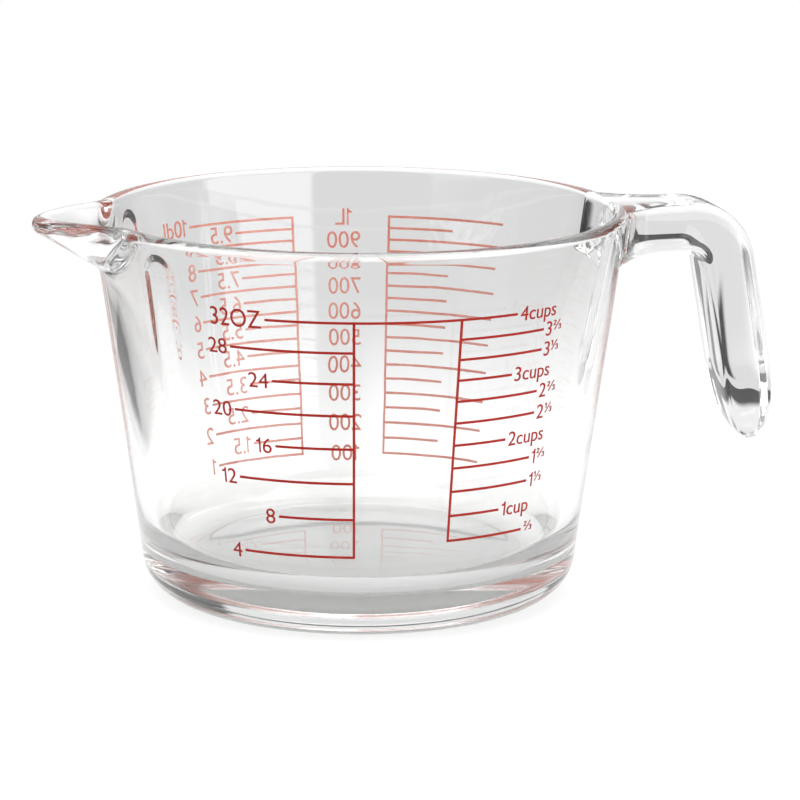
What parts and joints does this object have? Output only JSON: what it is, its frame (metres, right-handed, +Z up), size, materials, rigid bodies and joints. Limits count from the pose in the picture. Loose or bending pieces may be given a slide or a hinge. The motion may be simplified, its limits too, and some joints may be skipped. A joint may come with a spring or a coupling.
{
  "type": "measuring jug",
  "caption": "Clear pressed-glass measuring jug with a tapered bowl, a pouring spout, an open handle and red volume scales printed on the wall.",
  "frame": {"origin": "centre of the flat base, on the plane that it stands on", "axes": "+Z up the bowl's axis, +X towards the handle, -X towards the spout, -Y towards the ounce and cup scales"},
  "size_m": [0.2117, 0.1494, 0.1095],
  "materials": {
    "glass": "clear, fire polished",
    "enamel": "gloss"
  },
  "bodies": {
    "root": {"bowl": "glass", "spout": "glass", "handle": "glass", "full_line": "enamel", "ounce_spine": "enamel", "ounce_lines": "enamel", "cup_spine": "enamel", "cup_lines": "enamel", "third_lines": "enamel", "millilitre_spine": "enamel", "hundred_lines": "enamel", "fifty_lines": "enamel", "decilitre_spine": "enamel", "decilitre_lines": "enamel", "half_decilitre_lines": "enamel"}
  },
  "joints": []
}
